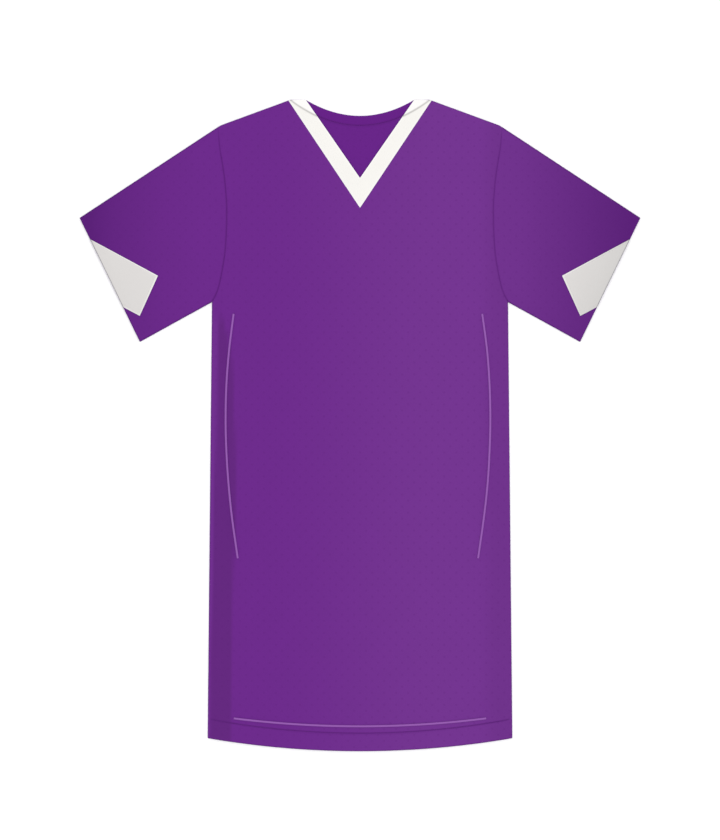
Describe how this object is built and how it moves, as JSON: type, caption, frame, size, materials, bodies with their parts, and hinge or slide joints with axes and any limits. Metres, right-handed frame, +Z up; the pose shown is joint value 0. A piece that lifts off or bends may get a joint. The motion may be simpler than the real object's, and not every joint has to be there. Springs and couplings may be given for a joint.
{
  "type": "football shirt, short sleeves, laid flat",
  "caption": "Short-sleeved football shirt with a V neck, laid flat on its back: knit front, back and sleeves, ribbed neckband, sleeve flash panels and thin piping.",
  "frame": {"origin": "on the surface that the shirt lies on, under the middle of its outline", "axes": "+Z up out of the shirt's front, +Y towards the neck, +X to the right as seen from above"},
  "size_m": [0.7288, 0.8465, 0.0069],
  "materials": {
    "purple_knit": "fine polyester mesh knit, soft sheen",
    "purple_rib": "fine rib knit, inside face, matt",
    "white_rib": "fine rib knit, folded double, matt",
    "white_knit": "smooth knit panel, matt",
    "lilac_tape": "narrow woven tape, slight sheen"
  },
  "bodies": {
    "root": {"front": "purple_knit", "back": "purple_knit", "sleeve_left": "purple_knit", "sleeve_right": "purple_knit", "neckband_front": "white_rib", "neckband_back": "purple_rib", "sleeve_panel_left": "white_knit", "sleeve_panel_right": "white_knit", "piping_left": "lilac_tape", "piping_right": "lilac_tape", "piping_hem": "lilac_tape"}
  },
  "joints": []
}
